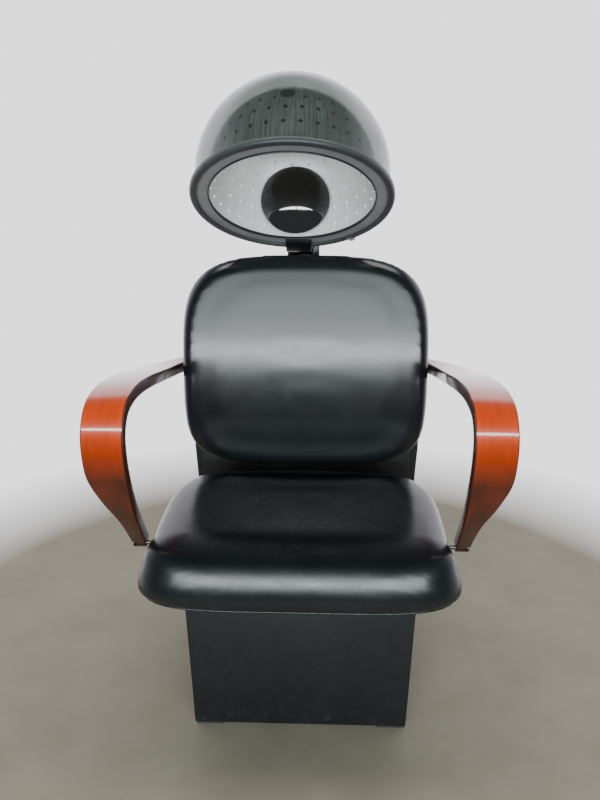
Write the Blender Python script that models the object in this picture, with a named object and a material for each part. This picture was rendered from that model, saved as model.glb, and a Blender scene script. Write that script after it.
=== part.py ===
"""Salon dryer chair: upholstered chair on a closed plinth with a tilting hood dryer behind the backrest.

Metres, +Z up, -Y is the sitter's front, origin under the middle of the bounding box on the floor.
"""
from math import cos, pi, radians, sin, sqrt

import bmesh
import bpy
from mathutils import Matrix, Vector

# chair
BASE_FRONT, BASE_REAR = -0.207, 0.200
BASE_HALF_BOTTOM, BASE_HALF_TOP = 0.214, 0.2255
BASE_Z0, BASE_Z1 = 0.005, 0.326
PANEL = 0.016
SEAT_Z0, SEAT_TOP = 0.3416, 0.450
SEAT_HALF, SEAT_FRONT, SEAT_MID, SEAT_REAR = 0.290, -0.338, -0.109, 0.143
BACK_HALF, BACK_Z0, BACK_MID, BACK_Z1 = 0.268, 0.4525, 0.676, 0.908
BACK_REAR = 0.190
ARM_THICK = 0.025
# column behind the back
COLUMN_Y, COLUMN_R, SLEEVE_R = 0.272, 0.0127, 0.0160
# hood: rim centre, tilt back from level, hinge pin
HOOD = Vector((-0.024, 0.051, 1.028))
TILT = radians(33.3)
PIN = Vector((0.0, 0.272, 0.926))
SPHERE_Z = 0.050
INNER_R, INNER_T = 0.1620, 0.0015
OUTER_R, OUTER_T = 0.1920, 0.0030
FAN_RISE = radians(10.5)

GAP = 0.0003

for old in list(bpy.data.objects):
    bpy.data.objects.remove(old, do_unlink=True)

HOOD_M = Matrix.Translation(HOOD) @ Matrix.Rotation(-TILT, 4, 'X')
# fan axis: +Z of this frame runs out through the rear of the domes from their common centre
FAN_M = HOOD_M @ Matrix.Translation((0, 0, SPHERE_Z)) @ Matrix.Rotation(FAN_RISE - pi / 2, 4, 'X')
FAN_O = FAN_M @ Vector((0, 0, 0))
ALONG_X = Matrix.Rotation(pi / 2, 4, 'Y')


def material(name, rgb, metallic, roughness, transmission=0.0):
    mat = bpy.data.materials.new(name)
    mat.use_nodes = True
    shader = mat.node_tree.nodes['Principled BSDF']
    shader.inputs['Base Color'].default_value = (*rgb, 1.0)
    shader.inputs['Metallic'].default_value = metallic
    shader.inputs['Roughness'].default_value = roughness
    shader.inputs['Transmission Weight'].default_value = transmission
    mat.diffuse_color = (*rgb, 1.0 - 0.6 * transmission)
    return mat


VINYL = ((0.012, 0.016, 0.018), 0.0, 0.32)
LACQUER = ((0.36, 0.075, 0.018), 0.0, 0.16)
LAMINATE = ((0.013, 0.015, 0.017), 0.0, 0.55)
PLY = ((0.42, 0.27, 0.14), 0.0, 0.65)
DARK_PLY = ((0.035, 0.030, 0.027), 0.0, 0.70)
BLACK = ((0.012, 0.012, 0.014), 0.0, 0.35)
BLACK_PAINT = ((0.014, 0.014, 0.016), 0.1, 0.38)
SMOKE = ((0.33, 0.37, 0.33), 0.0, 0.08, 0.85)
SPUN = ((0.50, 0.50, 0.48), 0.9, 0.38)
GREY = ((0.07, 0.075, 0.075), 0.0, 0.45)
STEEL = ((0.42, 0.42, 0.43), 1.0, 0.30)
CHROME = ((0.65, 0.65, 0.66), 1.0, 0.08)
RUBBER = ((0.012, 0.012, 0.012), 0.0, 0.80)
CERAMIC = ((0.62, 0.58, 0.50), 0.0, 0.70)
COPPER = ((0.40, 0.28, 0.20), 0.9, 0.40)
AMBER = ((0.85, 0.22, 0.03), 0.0, 0.15, 0.5)


def add(name, verts, faces, look, pivot=(0, 0, 0), bevel=0.0):
    """One closed body in world coordinates, its origin moved to the pivot."""
    bm = bmesh.new()
    made = [bm.verts.new(Vector(v) - Vector(pivot)) for v in verts]
    for face in faces:
        bm.faces.new([made[i] for i in face])
    bmesh.ops.recalc_face_normals(bm, faces=bm.faces)
    mesh = bpy.data.meshes.new(name)
    bm.to_mesh(mesh)
    bm.free()
    obj = bpy.data.objects.new(name, mesh)
    obj.location = pivot
    bpy.context.scene.collection.objects.link(obj)
    obj.data.materials.append(material(name + '_look', *look))
    if bevel:
        mod = obj.modifiers.new('edges', 'BEVEL')
        mod.width, mod.segments, mod.limit_method, mod.angle_limit = bevel, 2, 'ANGLE', radians(40)
    return obj


def prism(points, low, high, frame=Matrix.Identity(4)):
    """Vertices and faces of a polygon in the frame's XY plane run from low to high along its Z."""
    count = len(points)
    verts = [frame @ Vector((x, y, z)) for z in (low, high) for x, y in points]
    faces = [list(range(count))[::-1], list(range(count, 2 * count))]
    faces += [(i, (i + 1) % count, count + (i + 1) % count, count + i) for i in range(count)]
    return verts, faces


def block(x, y, z):
    return prism([(x[0], y[0]), (x[1], y[0]), (x[1], y[1]), (x[0], y[1])], z[0], z[1])


def side_frame():
    """XY of this frame is world YZ and its Z is world X."""
    return Matrix(((0, 0, 1, 0), (1, 0, 0, 0), (0, 1, 0, 0), (0, 0, 0, 1)))


def lathe(profile, steps, frame=Matrix.Identity(4)):
    """Closed turned body from a closed (radius, height) outline; points on the axis stay single vertices."""
    rings, verts = [], []
    for radius, height in profile:
        if radius < 1e-6:
            rings.append([len(verts)] * steps)
            verts.append(frame @ Vector((0, 0, height)))
            continue
        rings.append(list(range(len(verts), len(verts) + steps)))
        for k in range(steps):
            a = 2 * pi * k / steps
            verts.append(frame @ Vector((radius * cos(a), radius * sin(a), height)))
    faces = []
    for i, ring in enumerate(rings):
        following = rings[(i + 1) % len(rings)]
        if ring[0] == ring[1] and following[0] == following[1]:
            continue
        for k in range(steps):
            n = (k + 1) % steps
            corners = []
            for index in (ring[k], ring[n], following[n], following[k]):
                if index not in corners:
                    corners.append(index)
            faces.append(corners)
    return verts, faces


def disc_profile(radius, low, high):
    return [(0, low), (radius, low), (radius, high), (0, high)]


def ring_profile(inner, outer, low, high):
    return [(inner, low), (outer, low), (outer, high), (inner, high)]


def combine(obj, tool, operation='DIFFERENCE'):
    """Cut the tool from the object, or join it on, and bake the result."""
    mod = obj.modifiers.new('shape', 'BOOLEAN')
    mod.operation, mod.solver, mod.object = operation, 'EXACT', tool
    baked = bpy.data.meshes.new_from_object(obj.evaluated_get(bpy.context.evaluated_depsgraph_get()))
    obj.modifiers.clear()
    spent = obj.data
    obj.data = baked
    bpy.data.meshes.remove(spent)
    bpy.data.objects.remove(tool, do_unlink=True)


def tool(verts, faces):
    return add('tool', verts, faces, BLACK)


def at(x, y, z, turn=Matrix.Identity(4)):
    return Matrix.Translation((x, y, z)) @ turn


def smooth_path(points, count):
    """Centripetal-free Catmull-Rom samples through the points, each point a tuple of any length."""
    padded = [points[0]] + list(points) + [points[-1]]
    out = []
    spans = len(points) - 1
    for k in range(count):
        u = k * spans / (count - 1)
        i = min(int(u), spans - 1)
        t = u - i
        p0, p1, p2, p3 = padded[i:i + 4]
        out.append(tuple(
            0.5 * (2 * b + (c - a) * t + (2 * a - 5 * b + 4 * c - d) * t * t
                   + (3 * b - a - 3 * c + d) * t ** 3)
            for a, b, c, d in zip(p0, p1, p2, p3)))
    return out


# ---------------------------------------------------------------- plinth

def plinth_panel(name, x_low, x_high, y):
    """A board whose left and right edges lean outward; x pairs are (bottom, top)."""
    corners = []
    for level, z in enumerate((BASE_Z0, BASE_Z1)):
        corners += [(x_low[level], y[0], z), (x_high[level], y[0], z),
                    (x_high[level], y[1], z), (x_low[level], y[1], z)]
    faces = [(3, 2, 1, 0), (4, 5, 6, 7), (0, 1, 5, 4), (1, 2, 6, 5), (2, 3, 7, 6), (3, 0, 4, 7)]
    add(name, corners, faces, LAMINATE, bevel=0.0015)


WIDE = (BASE_HALF_BOTTOM, BASE_HALF_TOP)
NARROW = (BASE_HALF_BOTTOM - PANEL, BASE_HALF_TOP - PANEL)
plinth_panel('base_front', [-w for w in WIDE], WIDE, (BASE_FRONT, BASE_FRONT + PANEL))
plinth_panel('base_rear', [-w for w in WIDE], WIDE, (BASE_REAR - PANEL, BASE_REAR))
SIDE_Y = (BASE_FRONT + PANEL + GAP, BASE_REAR - PANEL - GAP)
plinth_panel('base_left', [-w for w in WIDE], [-w for w in NARROW], SIDE_Y)
plinth_panel('base_right', NARROW, WIDE, SIDE_Y)

for side, sign in (('left', -1), ('right', 1)):
    for end, y in (('front', (-0.205, -0.175)), ('rear', (0.168, 0.198))):
        xs = sorted((sign * 0.156, sign * 0.212))
        add(f'foot_{end}_{side}', *block(xs, y, (0.0, BASE_Z0 - GAP)), RUBBER)

# ---------------------------------------------------------------- seat

half_board = [(0.222, -0.288), (0.250, -0.268), (0.268, -0.238), (0.268, -0.060), (0.238, 0.060),
              (0.238, 0.213)]
add('seat_board', *prism(half_board + [(-x, y) for x, y in reversed(half_board)],
                         BASE_Z1 + GAP, SEAT_Z0 - GAP), DARK_PLY)


def bulged(a, front, rear, front_power, rear_power, inset, steps=56):
    """Superellipse outline in plan whose two halves have their own reach and squareness."""
    out = []
    for k in range(steps):
        angle = 2 * pi * (k + 0.5) / steps
        c, s = cos(angle), sin(angle)
        power = rear_power if s > 0 else front_power
        reach = (rear if s > 0 else front) - inset
        out.append(((a - inset) * (abs(c) ** (2 / power)) * (1 if c > 0 else -1),
                    reach * (abs(s) ** (2 / power)) * (1 if s > 0 else -1)))
    return out


def stacked(rings, first, last):
    """Closed body through equal rings, capped by a fan at a point on each end."""
    steps = len(rings[0])
    verts = [first] + [p for ring in rings for p in ring] + [last]
    faces = []
    for k in range(steps):
        n = (k + 1) % steps
        faces.append((0, 1 + k, 1 + n))
        for i in range(len(rings) - 1):
            a, b = 1 + i * steps, 1 + (i + 1) * steps
            faces.append((a + k, a + n, b + n, b + k))
        tail = 1 + (len(rings) - 1) * steps
        faces.append((tail + n, tail + k, len(verts) - 1))
    return verts, faces


def seat_height(x, y):
    """Top of the seat: dished between raised sides, rolling down at the front."""
    dish = 0.011 * max(0.0, 1 - (x / 0.21) ** 2) * max(0.0, 1 - ((y + 0.06) / 0.19) ** 2)
    roll = 0.020 * max(0.0, (-0.235 - y) / 0.10) ** 2
    return SEAT_TOP - dish - roll - 0.022 * max(0.0, (y - 0.05) / 0.10)


def seat_ring(inset, z=None, drop=0.0):
    """Outline of the seat, a little wider in front of the arms than between them."""
    out = []
    for x, y in bulged(SEAT_HALF, SEAT_MID - SEAT_FRONT, SEAT_REAR - SEAT_MID, 5.0, 2.8, inset):
        y += SEAT_MID
        t = min(1.0, max(0.0, (-0.215 - y) / 0.075))
        x *= 1 + 0.078 * t * t * (3 - 2 * t)
        out.append((x, y, seat_height(x, y) - drop if z is None else z))
    return out


seat_rings = [seat_ring(0.017, SEAT_Z0), seat_ring(0.008, 0.3465), seat_ring(0.002, 0.356),
              seat_ring(0.0, 0.372), seat_ring(0.0, 0.398), seat_ring(0.003, drop=0.026),
              seat_ring(0.011, drop=0.011), seat_ring(0.026, drop=0.003), seat_ring(0.055), seat_ring(0.11),
              seat_ring(0.17)]
seat = add('seat_cushion', *stacked(seat_rings, (0, SEAT_MID, SEAT_Z0),
                                    (0, SEAT_MID, seat_height(0, SEAT_MID))), VINYL)

RAIL_X, RAIL_Y, RAIL_Z = (0.250, 0.268), (-0.238, -0.090), (SEAT_Z0, 0.425)
BOLT = Vector((0.0, -0.196, 0.4075))
for side, sign in (('left', -1), ('right', 1)):
    xs = sorted(sign * x for x in RAIL_X)
    across = at(0, BOLT.y, BOLT.z, ALONG_X if sign > 0 else ALONG_X.inverted())
    groove = (xs[0] - GAP, xs[1] + GAP), (RAIL_Y[0] - GAP, RAIL_Y[1] + GAP), (0.330, RAIL_Z[1] + GAP)
    combine(seat, tool(*block(*groove)))
    combine(seat, tool(*lathe(disc_profile(0.0045, 0.260, 0.300), 16, across)))
    rail = add(f'seat_rail_{side}', *block(xs, RAIL_Y, (SEAT_Z0, RAIL_Z[1])), PLY)
    combine(rail, tool(*lathe(disc_profile(0.0045, 0.2545, 0.290), 16, across)))

# ---------------------------------------------------------------- back

def back_front(z):
    """Front face of the back cushion: leaning back above and below a soft lumbar swell."""
    lean = 0.072 + (z - 0.46) * 0.125
    swell = 0.012 * max(0.0, 1 - ((z - 0.66) / 0.16) ** 2)
    return lean - swell


def back_ring(inset, y=None, drop=0.0):
    points = bulged(BACK_HALF, BACK_MID - BACK_Z0, BACK_Z1 - BACK_MID, 5.0, 3.7, inset)
    return [(x, back_front(z + BACK_MID) + drop if y is None else y, z + BACK_MID) for x, z in points]


back_rings = [back_ring(0.060, BACK_REAR), back_ring(0.036, BACK_REAR - 0.001),
              back_ring(0.019, BACK_REAR - 0.009), back_ring(0.008, BACK_REAR - 0.020),
              back_ring(0.002, BACK_REAR - 0.031), back_ring(0.0, BACK_REAR - 0.038),
              back_ring(0.004, drop=0.019), back_ring(0.013, drop=0.008), back_ring(0.030, drop=0.001),
              back_ring(0.070), back_ring(0.120), back_ring(0.170)]
add('back_cushion', *stacked(back_rings, (0, BACK_REAR, BACK_MID),
                             (0, back_front(BACK_MID), BACK_MID)), VINYL)


def back_outline(half, top, corner):
    """Straight sides from the seat board up to large shoulders."""
    right = [(half - 0.007, SEAT_Z0), (half - 0.001, 0.45), (half, 0.60), (half, top - corner)]
    right += [(half - corner + corner * cos(a), top - corner + corner * sin(a))
              for a in (radians(d) for d in range(10, 91, 10))]
    return right + [(-x, z) for x, z in reversed(right)]


UPRIGHT = Matrix(((1, 0, 0, 0), (0, 0, 1, 0), (0, 1, 0, 0), (0, 0, 0, 1)))
add('back_board', *prism(back_outline(0.245, 0.866, 0.110), 0.1903, 0.2083, UPRIGHT), DARK_PLY, bevel=0.002)
add('back_panel', *prism(back_outline(0.2655, 0.874, 0.115), 0.2086, 0.2166, UPRIGHT), VINYL, bevel=0.002)

# ---------------------------------------------------------------- arms

# stations: y, z of the middle of the ribbon, inner edge x, outer edge x
ARM_PATH = [(-0.182, 0.402, 0.2925, 0.320), (-0.203, 0.432, 0.2925, 0.321), (-0.240, 0.484, 0.2925, 0.328),
            (-0.270, 0.534, 0.2925, 0.346), (-0.291, 0.584, 0.2925, 0.362), (-0.3005, 0.630, 0.2925, 0.365),
            (-0.296, 0.668, 0.2925, 0.365), (-0.270, 0.696, 0.2925, 0.365), (-0.228, 0.7055, 0.2925, 0.365),
            (-0.165, 0.7045, 0.2925, 0.365), (-0.070, 0.691, 0.2925, 0.365), (0.020, 0.674, 0.2925, 0.364),
            (0.100, 0.659, 0.292, 0.357), (0.160, 0.650, 0.287, 0.343), (0.205, 0.6455, 0.276, 0.324),
            (0.235, 0.6445, 0.251, 0.300), (0.262, 0.6445, 0.222, 0.276)]


def ribbon(sign):
    stations = smooth_path(ARM_PATH, 46)
    verts, faces = [], []
    for k, (y, z, inner, outer) in enumerate(stations):
        before, after = stations[max(k - 1, 0)], stations[min(k + 1, len(stations) - 1)]
        along = Vector((0, after[0] - before[0], after[1] - before[1])).normalized()
        outward = Vector((0, -along.z, along.y)) * (ARM_THICK / 2)
        for x, side in ((inner, 1), (outer, 1), (outer, -1), (inner, -1)):
            verts.append(Vector((sign * x, y, z)) + outward * side)
    for k in range(len(stations) - 1):
        for c in range(4):
            a, b = 4 * k + c, 4 * k + (c + 1) % 4
            faces.append((a, b, b + 4, a + 4))
    faces += [(0, 1, 2, 3), tuple(len(verts) - 4 + c for c in range(4))]
    return verts, faces


ANGLE_IRON = [(0.2169, 0.585), (0.2199, 0.585), (0.2199, 0.6285), (0.262, 0.6285), (0.262, 0.6315),
              (0.2169, 0.6315)]
for side, sign in (('left', -1), ('right', 1)):
    turn = ALONG_X if sign > 0 else ALONG_X.inverted()
    arm = add(f'arm_{side}', *ribbon(sign), LACQUER)
    combine(arm, tool(*lathe([(0, 0.280), (0.0045, 0.280), (0.0045, 0.3130), (0.0085, 0.3130),
                              (0.0085, 0.340), (0, 0.340)], 20, at(0, BOLT.y, BOLT.z, turn))))
    mod = arm.modifiers.new('edges', 'BEVEL')
    mod.width, mod.segments, mod.limit_method, mod.angle_limit = 0.002, 2, 'ANGLE', radians(50)
    add(f'arm_bolt_{side}', *lathe([(0, 0.2550), (0.004, 0.2550), (0.004, 0.3133), (0.0080, 0.3133),
                                    (0.0075, 0.3160), (0.0045, 0.3175), (0, 0.3178)], 20,
                                   at(0, BOLT.y, BOLT.z, turn)), CHROME)
    xs = sorted((sign * 0.224, sign * 0.252))
    add(f'arm_bracket_{side}', *prism(ANGLE_IRON, xs[0], xs[1], side_frame()), BLACK_PAINT)

# ---------------------------------------------------------------- column

add('column_bracket', *prism([(-0.040, 0.2169), (0.040, 0.2169), (0.040, 0.2209), (0.006, 0.2209),
                              (0.006, COLUMN_Y - SLEEVE_R - GAP), (-0.006, COLUMN_Y - SLEEVE_R - GAP),
                              (-0.006, 0.2209), (-0.040, 0.2209)], 0.500, 0.800), BLACK_PAINT)
CLAMP_Z = 0.780
sleeve = add('column_sleeve', *lathe(ring_profile(COLUMN_R + GAP, SLEEVE_R, 0.500, 0.800), 32,
                                     at(0, COLUMN_Y, 0)), BLACK_PAINT)
combine(sleeve, tool(*lathe(disc_profile(0.0045, 0.010, 0.020), 16, at(0, COLUMN_Y, CLAMP_Z, ALONG_X))))
add('column_tube', *lathe(ring_profile(COLUMN_R - 0.0015, COLUMN_R, 0.462, 0.886), 32, at(0, COLUMN_Y, 0)),
    CHROME, (0, COLUMN_Y, 0.462))
CLAMP_M = at(0, COLUMN_Y, CLAMP_Z, ALONG_X)
clamp = add('clamp_knob', *lathe([(0, COLUMN_R + GAP), (0.004, COLUMN_R + GAP), (0.004, 0.0185),
                                  (0.009, 0.0185), (0.009, 0.0410), (0, 0.0420)], 24, CLAMP_M),
            BLACK, (0.0, COLUMN_Y, CLAMP_Z))
lobes = [(r * cos(a), r * sin(a)) for r, a in ((0.0165 + 0.0022 * cos(5 * radians(d)), radians(d))
                                               for d in range(0, 360, 12))]
combine(clamp, tool(*prism(lobes, 0.0245, 0.0385, CLAMP_M)), 'UNION')

# neck: collar on the column top with one ear beside the hood bracket
NECK_TOP = 0.895
neck = add('neck', *lathe([(COLUMN_R + GAP, 0.850), (0.0190, 0.850), (0.0205, 0.853), (0.0205, NECK_TOP),
                           (0, NECK_TOP), (0, 0.8865), (COLUMN_R + GAP, 0.8865)], 32, at(0, COLUMN_Y, 0)),
           BLACK_PAINT, (0, COLUMN_Y, 0.850))
ear = [(PIN.y + 0.0145 * cos(a), PIN.z + 0.0145 * sin(a))
       for a in (radians(d) for d in range(-10, 191, 20))]
ear = [(PIN.y + 0.0165, 0.878)] + ear + [(PIN.y - 0.0165, 0.878)]
combine(neck, tool(*prism(ear, 0.0130, 0.0275, side_frame())), 'UNION')
bridge = tool(*prism([(PIN.y - 0.0155, 0.8880), (PIN.y + 0.0155, 0.8880), (PIN.y + 0.0155, 0.9085),
                      (PIN.y + 0.0045, 0.9085), (PIN.y - 0.0155, 0.8886)], -0.0440, 0.0200, side_frame()))
combine(neck, bridge, 'UNION')
combine(neck, tool(*lathe(disc_profile(0.0043, 0.0, 0.040), 20, at(0, PIN.y, PIN.z, ALONG_X))))

PIN_M = at(0, PIN.y, PIN.z, ALONG_X)
add('hinge_pin', *lathe([(0, -0.0500), (0.0075, -0.0495), (0.0080, -0.0480), (0.0080, -0.0451),
                         (0.0040, -0.0451), (0.0040, 0.0370), (0, 0.0370)], 24, PIN_M), STEEL, PIN)
add('friction_washer', *lathe(ring_profile(0.0043, 0.0125, 0.0118, 0.0127), 28, PIN_M), RUBBER, PIN)
add('tension_nut', *lathe(ring_profile(0.0043, 0.0095, 0.0278, 0.0345), 24, PIN_M), STEEL, PIN)

# ---------------------------------------------------------------- hood shells

def bowl(radius, thick, low, flange=0.0, steps=11):
    """Outline of a hemispherical dome on a short straight wall, open below, with an optional foot flange."""
    inner = radius - thick
    arc = [radians(90 * k / steps) for k in range(steps + 1)]
    out = [(radius * cos(a), SPHERE_Z + radius * sin(a)) for a in arc[:-1]] + [(0, SPHERE_Z + radius)]
    back = [(0, SPHERE_Z + inner)] + [(inner * cos(a), SPHERE_Z + inner * sin(a)) for a in arc[-2::-1]]
    foot = [(inner, low), (radius + flange, low)]
    if flange:
        foot += [(radius + flange, low + thick), (radius, low + thick)]
    return foot + out + back


HOLE_IN, HOLE_OUT = 0.0500, 0.0600
inner_dome = add('inner_dome', *lathe(bowl(INNER_R + INNER_T, INNER_T, 0.0037, 0.013), 48, HOOD_M),
                 SPUN, PIN)
combine(inner_dome, tool(*lathe(disc_profile(HOLE_IN, 0.100, 0.200), 30, FAN_M)))
outer_dome = add('outer_dome', *lathe(bowl(OUTER_R, OUTER_T, 0.0037), 48, HOOD_M), SMOKE, PIN)
combine(outer_dome, tool(*lathe(disc_profile(HOLE_OUT, 0.100, 0.230), 30, FAN_M)))

add('plenum_ring', *lathe(ring_profile(0.1645, 0.1921, 0.0, 0.0033), 48, HOOD_M), GREY, PIN)
add('mouth_lip', *lathe([(0.1622, -0.0025), (0.1632, -0.0034), (0.1642, -0.0025), (0.1642, 0.0030),
                         (0.1622, 0.0030)], 48, HOOD_M), BLACK, PIN)
add('rim_trim', *lathe([(0.1862, -0.0004), (0.1862, -0.0045), (0.1880, -0.0056), (0.1955, -0.0056),
                        (0.1985, -0.0045), (0.2000, -0.0015), (0.2000, 0.0040), (0.1985, 0.0065),
                        (0.1955, 0.0075), (0.1924, 0.0075), (0.1924, -0.0004)], 48, HOOD_M), BLACK, PIN)

# joint clip of the trim, at the rear right
CLIP_M = HOOD_M @ Matrix.Rotation(radians(52), 4, 'Z')
ON_EDGE = Matrix(((1, 0, 0, 0), (0, 0, -1, 0), (0, 1, 0, 0), (0, 0, 0, 1)))
add('trim_clip', *prism([(0.1880, -0.0060), (0.2004, -0.0060), (0.2004, 0.0050), (0.2019, 0.0050),
                         (0.2019, -0.0078), (0.1880, -0.0078)], -0.0065, 0.0065, CLIP_M @ ON_EDGE),
    STEEL, PIN)

# rubber button on top of the inner dome, towards the front
BUTTON_M = (HOOD_M @ at(0, 0, SPHERE_Z) @ Matrix.Rotation(radians(-2.5), 4, 'Z')
            @ Matrix.Rotation(radians(60), 4, 'X'))
add('dome_button', *lathe([(0, 0.1640), (0.0135, 0.1640), (0.0135, 0.1665), (0.0120, 0.1680), (0, 0.1684)],
                          24, BUTTON_M), RUBBER, PIN)

# bracket from under the rear of the rim up to the hinge pin, outline in the hood's own YZ
local_pin = HOOD_M.inverted() @ PIN
knuckle = [(local_pin.y + 0.0125 * cos(a), local_pin.z + 0.0125 * sin(a))
           for a in (radians(d) for d in range(-50, 151, 20))]
BRACKET = [(0.1672, -0.0007), (0.1672, -0.0045), (0.1800, -0.0100), (0.2000, -0.0125), (0.2090, -0.0100),
           (0.2140, -0.0030)] + knuckle + [(0.2050, 0.0200), (0.2010, 0.0120), (0.2010, -0.0062),
                                           (0.1816, -0.0062), (0.1816, -0.0007)]
BRACKET_M = HOOD_M @ side_frame()
bracket = add('hood_bracket', *prism(BRACKET, -0.0445 - HOOD.x, 0.0115 - HOOD.x, BRACKET_M),
              BLACK_PAINT, PIN)
combine(bracket, tool(*lathe(disc_profile(0.0043, -0.060, 0.030), 20, PIN_M)))

# ---------------------------------------------------------------- fan, heater and inlet

DISC_R, DISC_EDGE, DISC_RISE, DISC_T = 0.0740, 0.1340, 0.0220, 0.0018
cap_r = (DISC_R ** 2 + DISC_RISE ** 2) / (2 * DISC_RISE)


def cap(radius):
    """Height of the bulged disc's inner-dome side at a radius."""
    return DISC_EDGE - (sqrt(cap_r ** 2 - radius ** 2) - (cap_r - DISC_RISE))


front = [(r, cap(r)) for r in (0, 0.020, 0.040, 0.055, 0.066, 0.0725)]
add('inlet_disc', *lathe(front + [(DISC_R, DISC_EDGE + 0.0002), (0.0738, DISC_EDGE + DISC_T)]
                         + [(r, h + DISC_T) for r, h in reversed(front)], 40, FAN_M), BLACK, PIN)
for number, angle in enumerate((90, 210, 330), 1):
    post = FAN_M @ Matrix.Rotation(radians(angle), 4, 'Z') @ at(0.058, 0, 0)
    add(f'inlet_post_{number}', *lathe(disc_profile(0.0035, cap(0.0615) + DISC_T + 0.0006, 0.1484), 16,
                                       post), STEEL, PIN)

guard = add('inlet_guard', *lathe(ring_profile(0.0470, 0.0560, 0.1575, 0.1590), 28, FAN_M), STEEL, PIN)
for radius in (0.0165, 0.0315):
    hoop = lathe(ring_profile(radius - 0.001, radius + 0.001, 0.1578, 0.1587), 20, FAN_M)
    combine(guard, tool(*hoop), 'UNION')
for number, angle in enumerate((4, 64, 124)):
    low = 0.1576 + 0.0001 * number
    bar = prism([(-0.0480, -0.001), (0.0480, -0.001), (0.0480, 0.001), (-0.0480, 0.001)], low, low + 0.0012,
                FAN_M @ Matrix.Rotation(radians(angle), 4, 'Z'))
    combine(guard, tool(*bar), 'UNION')

# open radial wheel: outline of hub and blades, bored for the shaft
BLADES, HUB, TIP, BORE = 12, 0.0180, 0.0520, 0.0033
rim_points, bore_points = [], []
for k in range(BLADES):
    for radius, half in ((HUB, 0.0700), (TIP, 0.0220), (TIP, -0.0220), (HUB, -0.0700)):
        a = -2 * pi * k / BLADES + half
        rim_points.append((radius * cos(a), radius * sin(a)))
        b = -2 * pi * (k + (0.125, 0.375, 0.625, 0.875)[len(rim_points) % 4 - 1]) / BLADES
        bore_points.append((BORE * cos(b), BORE * sin(b)))
count = len(rim_points)
wheel = [FAN_M @ Vector((x, y, z)) for z in (0.1640, 0.1835)
         for points in (rim_points, bore_points) for x, y in points]
wheel_faces = []
for k in range(count):
    n = (k + 1) % count
    wheel_faces += [(k, n, count + n, count + k),
                    (2 * count + k, 3 * count + k, 3 * count + n, 2 * count + n),
                    (k, 2 * count + k, 2 * count + n, n),
                    (count + k, count + n, 3 * count + n, 3 * count + k)]
add('impeller', wheel, wheel_faces, SPUN, FAN_O)

add('fan_motor', *lathe([(0, 0.1600), (0.0030, 0.1600), (0.0030, 0.1880), (0.0260, 0.1880),
                         (0.0280, 0.1900), (0.0280, 0.2340), (0.0260, 0.2360), (0, 0.2360)], 32, FAN_M),
    STEEL, PIN)
add('motor_mount', *lathe(ring_profile(0.0283, 0.0335, 0.2120, 0.2170), 32, FAN_M), RUBBER, PIN)
add('blower_housing', *lathe([(0.0575, 0.1795), (0.0594, 0.1795), (0.0594, 0.1848), (0.0680, 0.1848),
                              (0.0680, 0.1868), (0.0600, 0.1868), (0.0600, 0.2000), (0.0560, 0.2045),
                              (0.0365, 0.2045), (0.0365, 0.2440), (0.0340, 0.2440), (0.0340, 0.2020),
                              (0.0550, 0.2020), (0.0575, 0.1990)], 36, FAN_M), BLACK, PIN)
housing_cap = add('housing_cap', *lathe([(0, 0.2443), (0.0365, 0.2443), (0.0365, 0.2462), (0.0340, 0.2485),
                                         (0, 0.2495)], 40, FAN_M), BLACK, PIN)
for angle in range(0, 180, 36):
    for reach in ((0.010, 0.029), (-0.029, -0.010)):
        slot = prism([(reach[0], -0.0018), (reach[1], -0.0018), (reach[1], 0.0018), (reach[0], 0.0018)],
                     0.240, 0.252, FAN_M @ Matrix.Rotation(radians(angle), 4, 'Z'))
        combine(housing_cap, tool(*slot))

add('heater_frame', *lathe(ring_profile(0.0640, 0.0720, 0.1640, 0.1660), 36, FAN_M), CERAMIC, PIN)


def coil(radius, height, wire, wave, turns, steps=84, sides=5):
    """Closed waved wire ring."""
    verts, faces = [], []
    for k in range(steps):
        a = 2 * pi * k / steps
        r = radius + wave * cos(turns * a)
        centre = Vector((r * cos(a), r * sin(a), height))
        outward = Vector((cos(a), sin(a), 0))
        for s in range(sides):
            b = 2 * pi * s / sides
            verts.append(FAN_M @ (centre + outward * (wire * cos(b)) + Vector((0, 0, wire * sin(b)))))
    for k in range(steps):
        for s in range(sides):
            a, b = k * sides, ((k + 1) % steps) * sides
            n = (s + 1) % sides
            faces.append((a + s, b + s, b + n, a + n))
    return verts, faces


add('heater_coil', *coil(0.0680, 0.1679, 0.0014, 0.0025, 14), COPPER, PIN)
CUTOUT_M = FAN_M @ Matrix.Rotation(radians(160), 4, 'Z')
add('thermal_cutout', *prism([(0.0645, -0.006), (0.0715, -0.006), (0.0715, 0.006), (0.0645, 0.006)],
                             0.1575, 0.1637, CUTOUT_M), BLACK, PIN)

# ---------------------------------------------------------------- controls behind the column

BOX_X, BOX_Y, BOX_Z = 0.050, (0.2920, 0.3350), (0.600, 0.730)
WALL = 0.0025
box = add('control_box', *block((-BOX_X, BOX_X), BOX_Y, BOX_Z), BLACK)
combine(box, tool(*block((-BOX_X + WALL, BOX_X - WALL), (0.280, BOX_Y[1] - WALL),
                         (BOX_Z[0] + WALL, BOX_Z[1] - WALL))))
TIMER, HEAT, LAMP = (0.0, 0.692), (-0.022, 0.632), (0.026, 0.632)
TO_REAR = Matrix.Rotation(-pi / 2, 4, 'X')
for (x, z), radius in ((TIMER, 0.0035), (HEAT, 0.0035), (LAMP, 0.0045)):
    combine(box, tool(*lathe(disc_profile(radius, 0.320, 0.345), 16, at(x, 0, z, TO_REAR))))
combine(box, tool(*lathe(disc_profile(0.0065, 0.590, 0.610), 20, at(0.026, 0.313, 0))))
add('control_plate', *block((-BOX_X, BOX_X), (0.2885, BOX_Y[0] - GAP), BOX_Z), BLACK_PAINT)


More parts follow.
